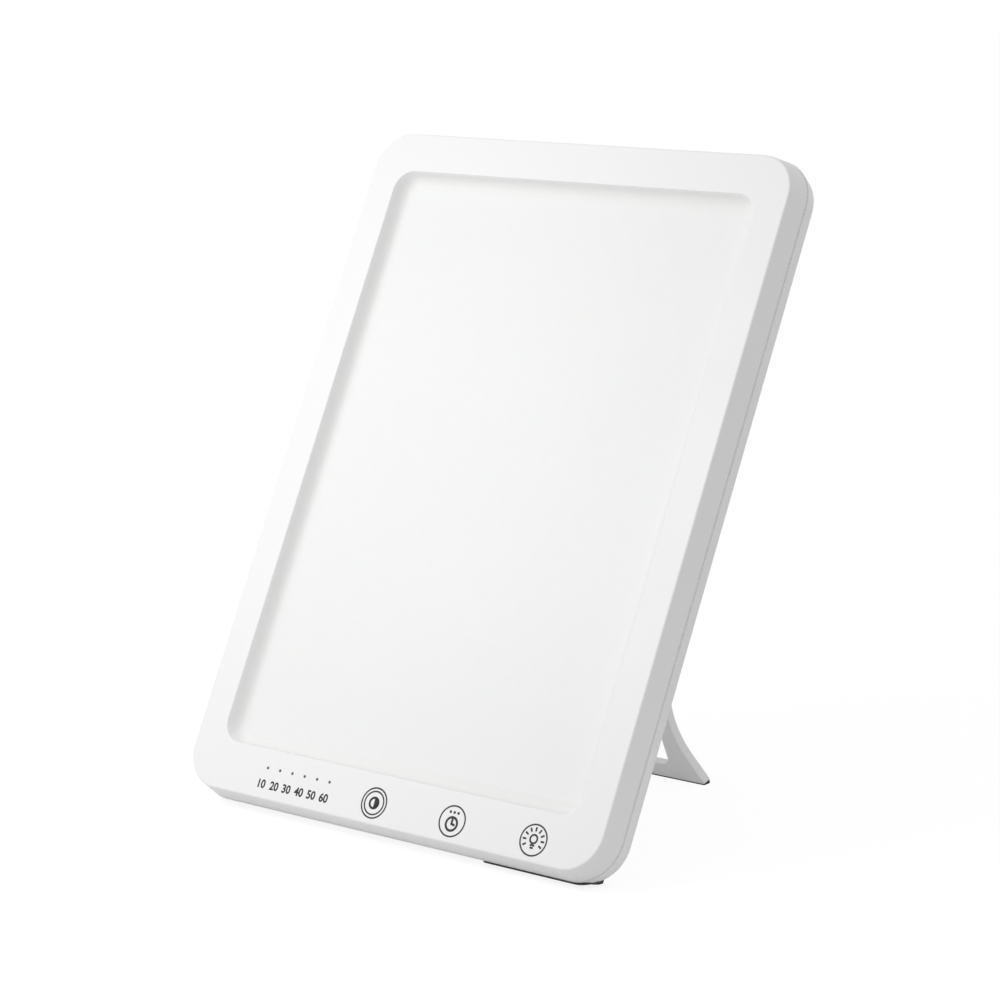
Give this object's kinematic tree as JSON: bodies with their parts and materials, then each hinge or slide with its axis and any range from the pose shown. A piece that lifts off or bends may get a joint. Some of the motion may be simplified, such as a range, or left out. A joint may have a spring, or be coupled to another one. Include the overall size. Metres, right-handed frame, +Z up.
{
  "type": "light therapy lamp",
  "caption": "Tablet-shaped light therapy lamp with a recessed opal screen, touch keys with timer dots, and a fold-out frame stand.",
  "frame": {"origin": "on the table, under the centre of the open lamp's bounding box", "axes": "+X right seen from the front, +Y to the back, +Z up; the screen faces -Y and leans back"},
  "size_m": [0.184, 0.1362, 0.2304],
  "materials": {
    "white_abs": "moulded ABS, fine matt texture",
    "foam": "die-cut closed-cell foam",
    "opal_sheet": "opal polystyrene sheet, satin",
    "film": "diffusing film",
    "clear_acrylic": "clear acrylic, polished",
    "reflector_film": "white polyester film",
    "aluminium_sheet": "mill-finish sheet",
    "circuit_board": "white solder mask",
    "led_package": "phosphor-filled package",
    "conductive_foam": "conductive fabric over foam",
    "black_nylon": "moulded nylon",
    "coil_ferrite": "ferrite core",
    "capacitor_can": "drawn can",
    "screw_steel": "zinc-plated steel",
    "inlet_steel": "nickel-plated steel",
    "flex_film": "polyimide flex",
    "grey_silicone": "moulded silicone, matt",
    "pin_steel": "ground steel"
  },
  "bodies": {
    "panel": {"front_bezel": "white_abs", "window_gasket": "foam", "diffuser": "opal_sheet", "diffusing_film": "film", "light_guide": "clear_acrylic", "reflector_sheet": "reflector_film", "back_plate": "aluminium_sheet", "led_strip_right": "circuit_board", "led_strip_left": "circuit_board", "led_chips_right": "led_package", "led_chips_left": "led_package", "control_board": "circuit_board", "touch_pads": "conductive_foam", "indicator_leds": "led_package", "light_pipe_comb": "clear_acrylic", "board_connectors": "black_nylon", "driver_coil": "coil_ferrite", "driver_capacitor": "capacitor_can", "driver_chips": "black_nylon", "board_screws": "screw_steel", "inlet_shell": "inlet_steel", "inlet_tongue": "black_nylon", "inlet_board": "circuit_board", "inlet_flex": "flex_film", "rear_cover": "white_abs", "cover_screws": "screw_steel", "base_pad_right": "grey_silicone", "base_pad_left": "grey_silicone", "hinge_pins": "pin_steel", "hinge_washers": "pin_steel"},
    "stand": {"kickstand": "white_abs", "foot_strip": "grey_silicone"}
  },
  "joints": [
    {"name": "stand_hinge", "type": "hinge", "parent": "panel", "child": "stand", "pos_m": [0, 0.02256, 0.1526], "axis": [-1, 0, 0], "range_deg": [0, 43.15]}
  ]
}
